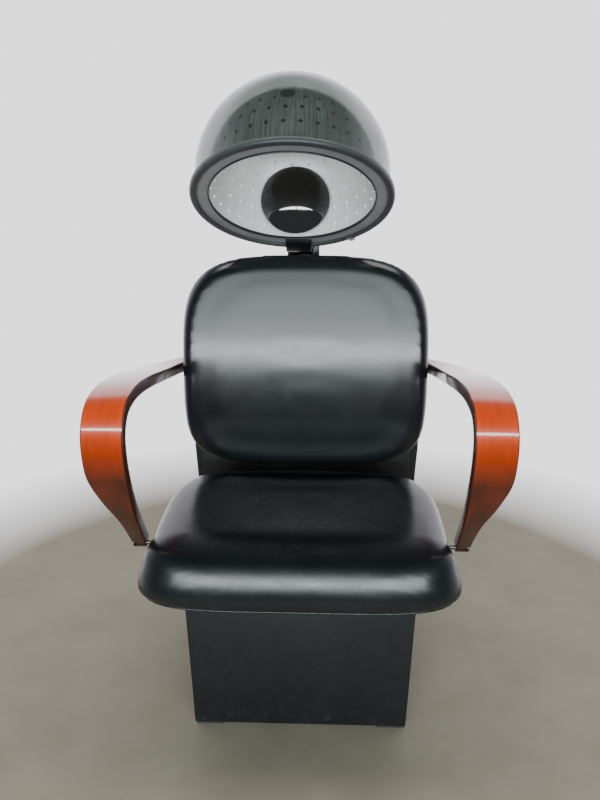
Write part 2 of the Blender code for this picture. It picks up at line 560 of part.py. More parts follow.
def knob(name, x, z, radius, tip):
    """Round knob on a stem through the rear wall, with a raised pointer bar that stands upright at rest."""
    body = add(name, *lathe([(0, 0.3255), (0.0032, 0.3255), (0.0032, 0.3358), (radius, 0.3358),
                             (radius, tip - 0.002), (radius - 0.0025, tip), (0, tip)], 28,
                            at(x, 0, z, TO_REAR)), BLACK, (x, 0.3358, z))
    combine(body, tool(*block((x - 0.0013, x + 0.0013), (tip - 0.004, tip + 0.0012),
                              (z + 0.002, z + radius - 0.0035))), 'UNION')


knob('timer_knob', *TIMER, 0.0200, 0.3490)
knob('heat_knob', *HEAT, 0.0130, 0.3480)
add('timer_unit', *block((-0.019, 0.019), (0.2935, 0.3250), (0.673, 0.711)), STEEL)
add('heat_switch', *block((-0.034, -0.010), (0.2935, 0.3250), (0.620, 0.644)), CERAMIC)
add('pilot_lamp', *lathe([(0, 0.3200), (0.0042, 0.3200), (0.0042, 0.3353), (0.0060, 0.3353),
                          (0.0055, 0.3375), (0.0030, 0.3390), (0, 0.3395)], 24,
                         at(LAMP[0], 0, LAMP[1], TO_REAR)), AMBER)
add('supply_gland', *lathe([(0.0035, 0.5830), (0.0070, 0.5830), (0.0090, 0.5870), (0.0090, 0.5997),
                            (0.0061, 0.5997), (0.0061, 0.6070), (0.0035, 0.6070)], 24,
                           at(0.026, 0.313, 0)), BLACK)
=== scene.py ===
from math import cos, pi, radians, sin, sqrt, tan

import bmesh
import bpy
import numpy as np
from mathutils import Matrix, Vector


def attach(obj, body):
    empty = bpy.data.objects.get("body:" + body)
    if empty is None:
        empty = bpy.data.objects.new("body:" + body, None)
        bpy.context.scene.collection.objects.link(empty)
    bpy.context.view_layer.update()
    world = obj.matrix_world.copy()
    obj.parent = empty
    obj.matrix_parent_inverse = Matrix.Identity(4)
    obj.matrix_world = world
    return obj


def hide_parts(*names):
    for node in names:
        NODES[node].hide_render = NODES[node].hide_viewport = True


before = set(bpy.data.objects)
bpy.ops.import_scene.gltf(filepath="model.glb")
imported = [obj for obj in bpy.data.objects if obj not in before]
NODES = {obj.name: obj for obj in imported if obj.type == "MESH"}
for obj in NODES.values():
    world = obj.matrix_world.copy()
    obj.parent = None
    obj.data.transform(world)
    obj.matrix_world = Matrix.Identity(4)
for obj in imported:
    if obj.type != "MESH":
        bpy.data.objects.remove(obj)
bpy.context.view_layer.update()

# ---------------------------------------------------------------- the places the looks share with the model
HOOD, HOOD_LEAN, FAN_RISE = Vector((-0.024, 0.051, 1.028)), -33.3, 10.5
SPHERE_Z = 0.050
HOOD_M = Matrix.Translation(HOOD) @ Matrix.Rotation(radians(HOOD_LEAN), 4, 'X')
FAN_M = HOOD_M @ Matrix.Translation((0, 0, SPHERE_Z)) @ Matrix.Rotation(radians(FAN_RISE - 90), 4, 'X')
COLUMN_Y = 0.272
ARM_BOLT_Y, ARM_BOLT_Z = -0.196, 0.4075
ALONG_X = Matrix.Rotation(pi / 2, 4, 'Y')


def at(x, y, z, turn=Matrix.Identity(4)):
    return Matrix.Translation((x, y, z)) @ turn


def along_bolt(sign):
    """Frame whose Z runs outward along the arm bolt of one side."""
    return at(0, ARM_BOLT_Y, ARM_BOLT_Z, ALONG_X if sign > 0 else ALONG_X.inverted())


# ---------------------------------------------------------------- materials

class Look:
    """A Principled material with a short way to add and join nodes."""

    def __init__(self, name, rgb=(0.5, 0.5, 0.5), rough=0.5, metallic=0.0, **sockets):
        self.mat = bpy.data.materials.new(name)
        self.mat.use_nodes = True
        self.tree = self.mat.node_tree
        self.shader = self.tree.nodes['Principled BSDF']
        self.shader.inputs['Base Color'].default_value = (*rgb, 1.0)
        self.shader.inputs['Roughness'].default_value = rough
        self.shader.inputs['Metallic'].default_value = metallic
        for socket, value in sockets.items():
            self.shader.inputs[socket.replace('_', ' ')].default_value = value
        self.mat.diffuse_color = (*rgb, 1.0)

    def node(self, kind, inputs=(), **settings):
        made = self.tree.nodes.new('ShaderNode' + kind)
        for key, value in settings.items():
            setattr(made, key, value)
        for key, value in dict(inputs).items():
            if isinstance(value, bpy.types.NodeSocket):
                self.tree.links.new(value, made.inputs[key])
            else:
                made.inputs[key].default_value = value
        return made

    def to(self, output, socket):
        self.tree.links.new(output, self.shader.inputs[socket])

    def place(self, scale=(1, 1, 1), inverse=None):
        """Object coordinates, or those of a tilted frame, stretched."""
        coords = self.node('TexCoord').outputs['Object']
        if inverse is not None:
            turn = inverse.to_euler('XYZ')
            coords = self.node('Mapping', {'Vector': coords, 'Location': inverse.translation,
                                           'Rotation': turn}).outputs[0]
        return self.node('Mapping', {'Vector': coords, 'Scale': scale}).outputs[0]

    def noise(self, coords, scale, detail=4.0, rough=0.55):
        return self.node('TexNoise', {'Vector': coords, 'Scale': scale, 'Detail': detail,
                                      'Roughness': rough}).outputs['Fac']

    def ramp(self, value, *stops):
        made = self.node('ValToRGB', {'Fac': value})
        elements = made.color_ramp.elements
        while len(elements) < len(stops):
            elements.new(0.5)
        for element, (place, rgb) in zip(elements, stops):
            element.position, element.color = place, (*rgb, 1.0)
        return made.outputs['Color']

    def span(self, value, low, high, from_low=0.3, from_high=0.7):
        return self.node('MapRange', {'Value': value, 'From Min': from_low, 'From Max': from_high,
                                      'To Min': low, 'To Max': high}).outputs['Result']

    def bump(self, height, distance, strength=1.0, below=None):
        made = self.node('Bump', {'Height': height, 'Distance': distance, 'Strength': strength})
        if below is not None:
            self.tree.links.new(below, made.inputs['Normal'])
        return made.outputs['Normal']


def mottled(name, dark, light, rough, metallic=0.0, scale=30.0, fine=900.0, depth=0.0002, strength=0.5,
            **sockets):
    """Colour and gloss that drift over the surface, with a fine relief."""
    look = Look(name, dark, rough[0], metallic, **sockets)
    coords = look.place()
    drift = look.noise(coords, scale, 6.0)
    look.to(look.ramp(drift, (0.30, dark), (0.72, light)), 'Base Color')
    look.to(look.span(look.noise(coords, scale * 2.3, 5.0), *rough), 'Roughness')
    look.to(look.bump(look.noise(look.place(), fine, 2.0), depth, strength), 'Normal')
    return look.mat


def vinyl(name, rough, tint=1.0):
    """Black upholstery vinyl: a pebbled skin whose colour and gloss drift slowly."""
    look = Look(name, (0.0062, 0.0082, 0.0094), rough[0], Specular_IOR_Level=0.5)
    coords = look.place()
    drift = look.noise(coords, 9.0, 5.0)
    look.to(look.ramp(drift, (0.25, (0.0052 * tint, 0.0070 * tint, 0.0080 * tint)),
                      (0.75, (0.0076 * tint, 0.0098 * tint, 0.0112 * tint))), 'Base Color')
    look.to(look.span(look.noise(coords, 22.0, 6.0), *rough), 'Roughness')
    pebble = look.node('TexVoronoi', {'Vector': coords, 'Scale': 620.0}, feature='SMOOTH_F1')
    look.to(look.bump(pebble.outputs['Distance'], 0.00012, 0.30), 'Normal')
    return look.mat


def lacquer():
    """Cherry stained bentwood under clear lacquer: grain along the strip, glued plies on its edges.

    The arm darkens, with cloudy edges, towards its foot: painted shade, for the lower strip that gets less
    light.
    """
    look = Look('arm_lacquer', (0.38, 0.040, 0.004), 0.40, Coat_Weight=1.0, Coat_Roughness=0.085,
                Coat_IOR=1.40, Specular_IOR_Level=0.3)
    along = look.node('UVMap', uv_map='along').outputs['UV']
    grain_at = look.node('Mapping', {'Vector': along, 'Scale': (5.0, 150.0, 1.0)}).outputs[0]
    grain = look.noise(grain_at, 1.6, 8.0, 0.62)
    cloud_at = look.node('Mapping', {'Vector': along, 'Scale': (9.0, 22.0, 1.0)}).outputs[0]
    cloud = look.noise(cloud_at, 1.0, 3.0)
    face = look.ramp(grain, (0.28, (0.480, 0.0420, 0.0030)), (0.52, (0.540, 0.0510, 0.0038)),
                     (0.76, (0.600, 0.0620, 0.0048)))
    ply = look.node('SeparateXYZ', {'Vector': look.node('UVMap', uv_map='ply').outputs['UV']}).outputs
    step = look.node('Math', {0: ply['X'], 1: 8.0}, operation='MULTIPLY').outputs[0]
    saw = look.node('Math', {0: step}, operation='FRACT').outputs[0]
    line = look.ramp(saw, (0.0, (0, 0, 0)), (0.10, (0, 0, 0)), (0.16, (1, 1, 1)), (1.0, (1, 1, 1)))
    # the side edges are much darker than the face: painted shade, over the real darker glue lines between the
    # plies
    edge = look.node('Mix', {'Factor': line, 6: (0.022, 0.0045, 0.0018, 1), 7: (0.070, 0.0110, 0.0035, 1)},
                     data_type='RGBA').outputs[2]
    both = look.node('Mix', {'Factor': ply['Y'], 6: face, 7: edge}, data_type='RGBA').outputs[2]
    height = look.node('SeparateXYZ', {'Vector': look.place()}).outputs['Z']
    # painted shade: below 0.665 m the colour darkens towards the foot of the arm, its edge clouded by noise
    low = look.node('Math', {0: look.span(height, 0.86, 0.0, 0.575, 0.665), 1: look.span(cloud, 0.0, 0.22)},
                    operation='ADD').outputs[0]
    shaded = look.node('Mix', {'Factor': low, 6: both, 7: (0.060, 0.0120, 0.0045, 1)}, data_type='RGBA')
    look.to(shaded.outputs[2], 'Base Color')
    look.to(look.span(grain, 0.30, 0.42), 'Roughness')
    look.to(look.bump(grain, 0.00012, 0.5), 'Normal')
    return look.mat


def polar(look, around, up):
    """Coordinates that run round the hood's own axis and up it."""
    local = look.place(inverse=HOOD_M.inverted())
    flat = look.node('VectorMath', {0: local, 1: (1, 1, 0)}, operation='MULTIPLY').outputs[0]
    ring = look.node('VectorMath', {0: flat}, operation='NORMALIZE').outputs[0]
    ring = look.node('VectorMath', {0: ring, 1: (around, around, 0)}, operation='MULTIPLY').outputs[0]
    rise = look.node('VectorMath', {0: local, 1: (0, 0, up)}, operation='MULTIPLY').outputs[0]
    return look.node('VectorMath', {0: ring, 1: rise}, operation='ADD').outputs[0]


def spun(name, dark, light, rough, metallic):
    """Spun sheet metal: fine streaks up the wall and faint turning marks round it."""
    look = Look(name, dark, rough[0], metallic)
    streaks = look.noise(polar(look, 15.0, 4.0), 2.6, 5.0, 0.7)
    turned_marks = look.noise(polar(look, 0.6, 260.0), 1.2, 2.0)
    look.to(look.ramp(streaks, (0.28, dark), (0.72, light)), 'Base Color')
    look.to(look.span(streaks, *rough), 'Roughness')
    look.to(look.bump(turned_marks, 0.00008, 0.3, look.bump(streaks, 0.00012, 0.35)), 'Normal')
    return look.mat


def smoke():
    """Smoked clear plastic with a faint haze and fine wipe marks."""
    look = Look('dome_smoked', (0.60, 0.63, 0.60), 0.14, Transmission_Weight=0.96, IOR=1.30,
                Specular_IOR_Level=0.1)
    haze = look.noise(polar(look, 3.0, 16.0), 1.6, 6.0)
    look.to(look.ramp(haze, (0.30, (0.37, 0.395, 0.375)), (0.72, (0.45, 0.475, 0.455))), 'Base Color')
    look.to(look.span(look.noise(look.place(), 60.0, 6.0), 0.09, 0.15), 'Roughness')
    look.to(look.bump(haze, 0.0006, 0.15), 'Normal')
    return look.mat


def brushed(name, rgb, rough, stretch=(60, 60, 900), metallic=1.0):
    look = Look(name, rgb, rough, metallic)
    hair = look.noise(look.place(stretch), 1.0, 5.0)
    look.to(look.ramp(hair, (0.2, [0.78 * c for c in rgb]), (0.8, rgb)), 'Base Color')
    look.to(look.span(hair, rough * 0.8, rough * 1.35), 'Roughness')
    look.to(look.bump(hair, 0.00004, 0.3), 'Normal')
    return look.mat


def laminate():
    """Black textured laminate board: fine pebble, scuffed paler along the foot."""
    look = Look('base_laminate', (0.0060, 0.0070, 0.0074), 0.60, Specular_IOR_Level=0.32)
    coords = look.place()
    low = look.node('SeparateXYZ', {'Vector': coords}).outputs['Z']
    scuff = look.node('Math', {0: look.span(low, 1.0, 0.0, 0.004, 0.050),
                               1: look.span(look.noise(coords, 55.0, 8.0, 0.7), 0.0, 1.0, 0.52, 0.74)},
                      operation='MULTIPLY').outputs[0]
    drift = look.ramp(look.noise(coords, 7.0, 4.0), (0.3, (0.0048, 0.0057, 0.0060)),
                      (0.7, (0.0080, 0.0092, 0.0096)))
    look.to(look.node('Mix', {'Factor': scuff, 6: drift, 7: (0.030, 0.030, 0.028, 1)},
                      data_type='RGBA').outputs[2], 'Base Color')
    look.to(look.span(look.noise(coords, 40.0, 5.0), 0.50, 0.64), 'Roughness')
    pebble = look.node('TexVoronoi', {'Vector': coords, 'Scale': 420.0}).outputs['Distance']
    look.to(look.bump(pebble, 0.00035, 0.55), 'Normal')
    return look.mat


def timber(name, dark, light, stretch):
    look = Look(name, light, 0.6)
    grain = look.noise(look.place(stretch), 1.0, 7.0, 0.6)
    look.to(look.ramp(grain, (0.3, dark), (0.7, light)), 'Base Color')
    look.to(look.span(grain, 0.52, 0.70), 'Roughness')
    look.to(look.bump(grain, 0.0002, 0.5), 'Normal')
    return look.mat


# the seat's copy of the vinyl is 1.35 times paler than the back's: painted light that makes up for the soft
# and overhead lamps kept off the seat; the panel's copy is a little darker
VINYL = vinyl('seat_vinyl', (0.24, 0.30), 1.35)
BACK_VINYL = vinyl('back_vinyl', (0.205, 0.245))
PANEL_VINYL = vinyl('panel_vinyl', (0.27, 0.33), 0.9)
LACQUER = lacquer()
LAMINATE = laminate()
SMOKE = smoke()
INSIDE = spun('dome_aluminium', (0.72, 0.73, 0.71), (0.85, 0.86, 0.84), (0.38, 0.50), 0.20)
# paler than it looks, because the smoked dome over it takes away lamp light
OUTSIDE = spun('dome_outside', (0.160, 0.165, 0.160), (0.860, 0.870, 0.855), (0.50, 0.66), 0.1)
NOZZLE = brushed('nozzle_aluminium', (0.92, 0.92, 0.90), 0.26, metallic=0.4)
TRIM = mottled('trim_black', (0.0290, 0.0325, 0.0340), (0.0400, 0.0440, 0.0460), (0.38, 0.48), scale=26,
               fine=700, depth=0.00010)
LIP = mottled('lip_black', (0.008, 0.008, 0.010), (0.016, 0.016, 0.018), (0.40, 0.52))
RING = mottled('ring_grey', (0.245, 0.250, 0.250), (0.300, 0.306, 0.306), (0.34, 0.44), 0.35, scale=18,
               fine=800, depth=0.0001)
DISC = mottled('disc_black', (0.0105, 0.0120, 0.0125), (0.0150, 0.0170, 0.0176), (0.045, 0.085), scale=22,
               fine=500, depth=0.00002, strength=0.3, Specular_IOR_Level=1.0)
STAIN = timber('board_stained', (0.0035, 0.0035, 0.0036), (0.0085, 0.0080, 0.0078), (14, 120, 120))
RAIL = timber('rail_timber', (0.24, 0.14, 0.07), (0.44, 0.29, 0.16), (160, 12, 160))
RUBBER = mottled('foot_rubber', (0.010, 0.010, 0.010), (0.024, 0.023, 0.022), (0.72, 0.86), scale=60,
                 fine=1200)
SPACER = mottled('washer_rubber', (0.012, 0.012, 0.013), (0.022, 0.022, 0.023), (0.62, 0.76), scale=80,
                 fine=1400)
PAINT = mottled('bracket_paint', (0.0035, 0.0035, 0.0045), (0.0080, 0.0080, 0.0095), (0.30, 0.42), 0.05,
                scale=40, fine=1100, depth=0.00012)
PLASTIC = mottled('housing_black', (0.0060, 0.0060, 0.0066), (0.0105, 0.0105, 0.0115), (0.40, 0.52), scale=35,
                  fine=1500, depth=0.00018)
KNOB = mottled('knob_black', (0.0045, 0.0045, 0.0050), (0.0090, 0.0090, 0.0098), (0.30, 0.42), scale=60,
               fine=1300, depth=0.0001)
CHROME = brushed('column_chrome', (0.66, 0.67, 0.68), 0.11, (500, 500, 8))
BOLT = brushed('bolt_chrome', (0.11, 0.11, 0.115), 0.30, (60, 700, 700))
STEEL = brushed('pin_steel', (0.40, 0.40, 0.41), 0.30)
CLIP = brushed('clip_steel', (0.80, 0.80, 0.80), 0.26)
POST = brushed('post_steel', (0.46, 0.46, 0.47), 0.28, (300, 300, 40))
MOTOR = brushed('motor_steel', (0.36, 0.37, 0.38), 0.34, (20, 500, 500))
WHEEL = brushed('wheel_aluminium', (0.52, 0.52, 0.51), 0.32, (200, 200, 200))
COPPER = brushed('coil_wire', (0.36, 0.24, 0.17), 0.36, (900, 900, 900), 0.9)
CERAMIC = mottled('heater_ceramic', (0.52, 0.48, 0.40), (0.66, 0.62, 0.54), (0.60, 0.78), scale=70)
CUTOUT = mottled('cutout_black', (0.016, 0.015, 0.014), (0.028, 0.026, 0.024), (0.44, 0.58), scale=90,
                 fine=1300)
MARK = mottled('scale_mark', (0.62, 0.61, 0.58), (0.74, 0.73, 0.70), (0.50, 0.62), scale=120, fine=1500)
AMBER = mottled('lamp_amber', (0.78, 0.17, 0.015), (0.92, 0.26, 0.03), (0.08, 0.16), scale=200,
                depth=0.00008, Transmission_Weight=0.55)


# ---------------------------------------------------------------- mesh helpers

def piece(name, verts, faces, looks, slot, body, hides=(), angle=35.0, rides=True):
    """One closed mesh, smooth but for its sharp edges, that stands for the CAD nodes it hides."""
    mesh = bpy.data.meshes.new(name)
    mesh.from_pydata([tuple(v) for v in verts], [], faces)
    bm = bmesh.new()
    bm.from_mesh(mesh)
    bmesh.ops.recalc_face_normals(bm, faces=bm.faces)
    bm.to_mesh(mesh)
    bm.free()
    obj = bpy.data.objects.new(name, mesh)
    bpy.context.scene.collection.objects.link(obj)
    for look in looks:
        mesh.materials.append(look)
    shade(obj, angle)
    if rides:
        settle(obj, body, hides)
    return obj


def settle(obj, body, hides=()):
    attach(obj, body)
    if hides:
        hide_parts(*hides)
    return obj


def shade(obj, angle=35.0):
    obj.data.shade_smooth()
    obj.data.set_sharp_from_angle(angle=radians(angle))


def baked(obj):
    """The object's modifiers become its mesh."""
    made = bpy.data.meshes.new_from_object(obj.evaluated_get(bpy.context.evaluated_depsgraph_get()))
    obj.modifiers.clear()
    spent, obj.data = obj.data, made
    bpy.data.meshes.remove(spent)
    return obj


def bored(obj, *tools):
    """Cut simple tools out of a piece."""
    for number, (verts, faces) in enumerate(tools):
        tool = piece(f'tool_{number}', verts, faces, [], '', '', rides=False)
        cut = obj.modifiers.new('cut', 'BOOLEAN')
        cut.operation, cut.solver, cut.object = 'DIFFERENCE', 'EXACT', tool
        baked(obj)
        bpy.data.objects.remove(tool, do_unlink=True)
    return obj


def lathe(profile, steps, place=Matrix.Identity(4)):
    """Vertices and faces of a turned body from a closed (radius, height) outline."""
    rings, verts = [], []
    for radius, height in profile:
        if radius < 1e-6:
            rings.append([len(verts)] * steps)
            verts.append(place @ Vector((0, 0, height)))
            continue
        rings.append(list(range(len(verts), len(verts) + steps)))
        verts += [place @ Vector((radius * cos(2 * pi * k / steps), radius * sin(2 * pi * k / steps), height))
                  for k in range(steps)]
    faces = []
    for ring, following in zip(rings, rings[1:] + rings[:1]):
        if ring[0] == ring[1] and following[0] == following[1]:
            continue
        for k in range(steps):
            n = (k + 1) % steps
            faces.append(list(dict.fromkeys((ring[k], ring[n], following[n], following[k]))))
    return verts, faces


def rounded(profile, radius, steps=4):
    """A closed outline with each of its corners turned into a small arc."""
    out = []
    count = len(profile)
    for i, corner in enumerate(profile):
        here = Vector(corner)
        before, after = Vector(profile[i - 1]) - here, Vector(profile[(i + 1) % count]) - here
        if corner[0] < 1e-6 or before.length < 1e-6 or after.length < 1e-6:
            out.append(corner)
            continue
        reach = min(radius, before.length * 0.45, after.length * 0.45)
        a, b = here + before.normalized() * reach, here + after.normalized() * reach
        for s in range(steps + 1):
            t = s / steps
            out.append(tuple(a * (1 - t) ** 2 + here * 2 * t * (1 - t) + b * t ** 2))
    return out


def prism(points, low, high):
    count = len(points)
    verts = [Vector((x, y, z)) for z in (low, high) for x, y in points]
    faces = [list(range(count))[::-1], list(range(count, 2 * count))]
    faces += [(i, (i + 1) % count, count + (i + 1) % count, count + i) for i in range(count)]
    return verts, faces


def block(x, y, z):
    return prism([(x[0], y[0]), (x[1], y[0]), (x[1], y[1]), (x[0], y[1])], z[0], z[1])


def merged(parts):
    """Several meshes as one list of vertices and faces."""
    verts, faces = [], []
    for more_verts, more_faces in parts:
        base = len(verts)
        verts += list(more_verts)
        faces += [[i + base for i in face] for face in more_faces]
    return verts, faces


def smooth_path(points, count):
    """Catmull-Rom samples through points of any length."""
    padded = [points[0]] + list(points) + [points[-1]]
    out = []
    spans = len(points) - 1
    for k in range(count):
        u = k * spans / (count - 1)
        i = min(int(u), spans - 1)
        t = u - i
        out.append(tuple(0.5 * (2 * b + (c - a) * t + (2 * a - 5 * b + 4 * c - d) * t * t
                                + (3 * b - a - 3 * c + d) * t ** 3)
                         for a, b, c, d in zip(*padded[i:i + 4])))
    return out


def stacked(rings, first, last):
    """Closed body through equal rings, with a fan at each end."""
    steps = len(rings[0])
    verts = [first] + [p for ring in rings for p in ring] + [last]
    faces = []
    for k in range(steps):
        n = (k + 1) % steps
        faces.append((0, 1 + k, 1 + n))
        for i in range(len(rings) - 1):
            a, b = 1 + i * steps, 1 + (i + 1) * steps
            faces.append((a + k, a + n, b + n, b + k))
        tail = 1 + (len(rings) - 1) * steps
        faces.append((tail + n, tail + k, len(verts) - 1))
    return verts, faces


def tube(points, radius, sides=10):
    """Round cord along a loop of points."""
    count = len(points)
    points = [Vector(p) for p in points]
    rings = []
    for k, p in enumerate(points):
        along = points[(k + 1) % count] - points[k - 1]
        along.normalize()
        side = along.cross(Vector((0, 0, 1)))
        side = side.normalized() if side.length > 0.2 else along.cross(Vector((0, 1, 0))).normalized()
        up = side.cross(along)
        rings.append([p + side * (radius * cos(2 * pi * s / sides)) + up * (radius * sin(2 * pi * s / sides))
                      for s in range(sides)])
    verts = [v for ring in rings for v in ring]
    faces = []
    for k in range(count):
        n = (k + 1) % count
        for s in range(sides):
            t = (s + 1) % sides
            faces.append((k * sides + s, k * sides + t, n * sides + t, n * sides + s))
    return verts, faces


# ---------------------------------------------------------------- padded cushions

SEAT_Z0, SEAT_TOP, SEAT_HALF, SEAT_FRONT, SEAT_MID, SEAT_REAR = 0.3416, 0.450, 0.290, -0.338, -0.109, 0.143
BACK_HALF, BACK_Z0, BACK_MID, BACK_Z1, BACK_REAR = 0.268, 0.4525, 0.676, 0.908, 0.190
RINGS = 60              # rings of points in a cushion's shell
COVER_GRID = 0.006      # spacing of the points of its cover
DRAWN_IN = 0.006        # how far inside the shell the cover starts
BLOWING_STEPS = 20      # steps of the simulation that fills it
FULL_SHARE = 70         # percentile of the swelling that counts as full
COVER_GROWTH = 0.0015   # growth that makes up for the last smoothing
ON_BOARD = 0.003        # points this near the board stay on it


def bulged(half, front, rear, front_power, rear_power, inset, steps=220):
    """Superellipse outline whose two halves have their own reach and squareness, evenly turned."""
    out = []
    for k in range(steps):
        c, s = cos(2 * pi * k / steps), sin(2 * pi * k / steps)
        power, reach = (rear_power, rear - inset) if s > 0 else (front_power, front - inset)
        r = (abs(c / (half - inset)) ** power + abs(s / reach) ** power) ** (-1 / power)
        out.append((r * c, r * s))
    return out


def seat_height(x, y):
    """Top of the seat: softly dished, rolling down at the front and under the back cushion."""
    dish = 0.012 * max(0.0, 1 - (x / 0.26) ** 2) ** 2 * max(0.0, 1 - ((y + 0.05) / 0.22) ** 2) ** 2
    roll = 0.016 * max(0.0, (-0.245 - y) / 0.09) ** 2
    return SEAT_TOP - dish - roll - 0.022 * max(0.0, (y - 0.05) / 0.10)


def seat_ring(inset, z=None, drop=0.0):
    """Outline of the seat, a little wider in front of the arms than between them."""
    out = []
    for x, y in bulged(SEAT_HALF, SEAT_MID - SEAT_FRONT, SEAT_REAR - SEAT_MID, 5.0, 2.8, inset):
        y += SEAT_MID
        t = min(1.0, max(0.0, (-0.215 - y) / 0.075))
        x *= 1 + 0.078 * t * t * (3 - 2 * t)
        out.append((x, y, seat_height(x, y) - drop if z is None else z))
    return out


def back_front(z):
    """Front face of the back cushion: leaning back round a lumbar swell, straight above it."""
    over = max(0.0, z - 0.75)
    z -= over
    return 0.072 + (z - 0.46) * 0.125 - 0.012 * max(0.0, 1 - ((z - 0.66) / 0.16) ** 2) + over * 0.209


def back_ring(inset, y=None, drop=0.0):
    points = bulged(BACK_HALF, BACK_MID - BACK_Z0, BACK_Z1 - BACK_MID, 5.0, 3.7, inset)
    return [(x, back_front(z + BACK_MID) + drop if y is None else y, z + BACK_MID) for x, z in points]


def woven_rings(rings, count):
    """More rings between the given ones, each point on a smooth run through its column."""
    return [list(ring) for ring in zip(*[smooth_path(column, count) for column in zip(*rings)])]


def coordinates(mesh):
    co = np.empty(len(mesh.vertices) * 3)
    mesh.vertices.foreach_get('co', co)
    return co.reshape(-1, 3)


def evened(mesh, values, times):
    """Each point's value averaged with its neighbours', again and again."""
    ends = np.empty(len(mesh.edges) * 2, dtype=np.int32)
    mesh.edges.foreach_get('vertices', ends)
    one, two = ends.reshape(-1, 2).T
    links = np.bincount(ends, minlength=len(values))
    for _ in range(times):
        total = (np.bincount(one, values[two], len(values))
                 + np.bincount(two, values[one], len(values)))
        values = (values + total / links) / 2
    return values


def upholstered(name, shell, look, held, dent):
    """A shell remeshed, drawn in, then swollen by air pressure inside its skin.

    The swelling is kept along the skin's normal, evened out, and leaves at most dent drawn in. The cover
    then grows a little, which makes up for the last smoothing. held marks the points on the board, which
    stay.
    """
    obj = piece(name, *shell, [look], '', '', rides=False)
    mod = obj.modifiers.new('even', 'REMESH')
    mod.mode, mod.voxel_size = 'VOXEL', COVER_GRID
    baked(obj)
    mod = obj.modifiers.new('calm', 'SMOOTH')
    mod.factor, mod.iterations = 0.5, 6
    baked(obj)
    mesh = obj.data
    full = coordinates(mesh)
    fixed = np.array([held(*p) for p in full])
    normals = np.empty(len(full) * 3)
    mesh.vertices.foreach_get('normal', normals)
    normals = normals.reshape(-1, 3)
    drawn_in = full - normals * (DRAWN_IN * (~fixed))[:, None]
    mesh.vertices.foreach_set('co', drawn_in.ravel())
    mesh.update()
    group = obj.vertex_groups.new(name='held')
    group.add([int(i) for i in np.nonzero(fixed)[0]], 1.0, 'REPLACE')
    mod = obj.modifiers.new('skin', 'CLOTH')
    mod.settings.quality, mod.settings.mass = 5, 0.3
    mod.settings.tension_stiffness = mod.settings.compression_stiffness = 15.0
    mod.settings.bending_stiffness = 1.5
    mod.settings.use_pressure, mod.settings.uniform_pressure_force = True, 4.0
    mod.settings.effector_weights.gravity = 0.0
    mod.settings.vertex_group_mass = 'held'
    mod.point_cache.frame_start, mod.point_cache.frame_end = 1, BLOWING_STEPS
    scene = bpy.context.scene
    for number in range(1, BLOWING_STEPS + 1):
        scene.frame_set(number)
    blown = coordinates(obj.evaluated_get(bpy.context.evaluated_depsgraph_get()).data)
    obj.modifiers.clear()
    scene.frame_set(1)
    obj.vertex_groups.clear()
    swell = ((blown - full) * normals).sum(axis=1)
    swell -= np.percentile(swell[~fixed], FULL_SHARE)
    swell = evened(mesh, np.where(fixed, 0.0, swell), 30)
    swell = evened(mesh, np.clip(swell, -dent, 0.0), 12)
    swollen = full + normals * (swell + COVER_GROWTH * (~fixed))[:, None]
    mesh.vertices.foreach_set('co', swollen.ravel())
    mesh.update()
    mod = obj.modifiers.new('calm', 'SMOOTH')
    mod.factor, mod.iterations = 0.5, 8
    baked(obj)
    mod = obj.modifiers.new('fine', 'SUBSURF')
    mod.levels = mod.render_levels = 1
    baked(obj)
    return obj


seat_rings = [seat_ring(0.013, SEAT_Z0), seat_ring(0.005, 0.3455), seat_ring(0.001, 0.355),
              seat_ring(0.0, 0.367), seat_ring(0.0022, 0.384), seat_ring(0.0068, 0.399),
              seat_ring(0.0135, drop=0.022), seat_ring(0.022, drop=0.0095), seat_ring(0.034, drop=0.003),
              seat_ring(0.060), seat_ring(0.11), seat_ring(0.17)]
seat_shell = stacked(woven_rings(seat_rings, RINGS), (0, SEAT_MID, SEAT_Z0),
                     (0, SEAT_MID, seat_height(0, SEAT_MID)))
seat = upholstered('seat_cushion_vinyl', seat_shell, VINYL, lambda x, y, z: z < SEAT_Z0 + ON_BOARD, 0.0025)

# room in the seat for its side rails and the arm bolts
RAIL_X, RAIL_Y, RAIL_Z = (0.2495, 0.2685), (-0.2385, -0.0895), (0.330, 0.4255)
BOLT_HOLE = [(0, 0.262), (0.0047, 0.262), (0.0047, 0.300), (0, 0.300)]
pockets = []
for sign in (-1, 1):
    pockets.append(block(sorted(sign * x for x in RAIL_X), RAIL_Y, RAIL_Z))
    pockets.append(lathe(BOLT_HOLE, 24, along_bolt(sign)))
bored(seat, *pockets)
shade(seat, 60)
settle(seat, 'chair', ['seat_cushion'])

back_rings = [back_ring(0.060, BACK_REAR), back_ring(0.036, BACK_REAR - 0.001),
              back_ring(0.019, BACK_REAR - 0.009), back_ring(0.008, BACK_REAR - 0.020),
              back_ring(0.002, BACK_REAR - 0.031), back_ring(0.0, BACK_REAR - 0.038),
              back_ring(0.004, drop=0.018), back_ring(0.011, drop=0.007), back_ring(0.025, drop=0.001),
              back_ring(0.070), back_ring(0.120), back_ring(0.170)]
back_shell = stacked(woven_rings(back_rings, RINGS), (0, BACK_REAR, BACK_MID),
                     (0, back_front(BACK_MID), BACK_MID))
back = upholstered('back_cushion_vinyl', back_shell, BACK_VINYL, lambda x, y, z: y > BACK_REAR - ON_BOARD,
                   0.0014)
settle(back, 'chair', ['back_cushion'])

# piping where each cover is closed: round the foot of the seat and the rear edge of the back
piece('seat_piping', *tube(seat_ring(0.0105, SEAT_Z0 + 0.0026)[::2], 0.0022), [VINYL], 'seat_vinyl', 'chair',
      angle=60)
piece('back_piping', *tube(back_ring(0.0150, BACK_REAR - 0.0058)[::2], 0.0024), [BACK_VINYL], 'back_vinyl',
      'chair', angle=60)


# ---------------------------------------------------------------- back panel

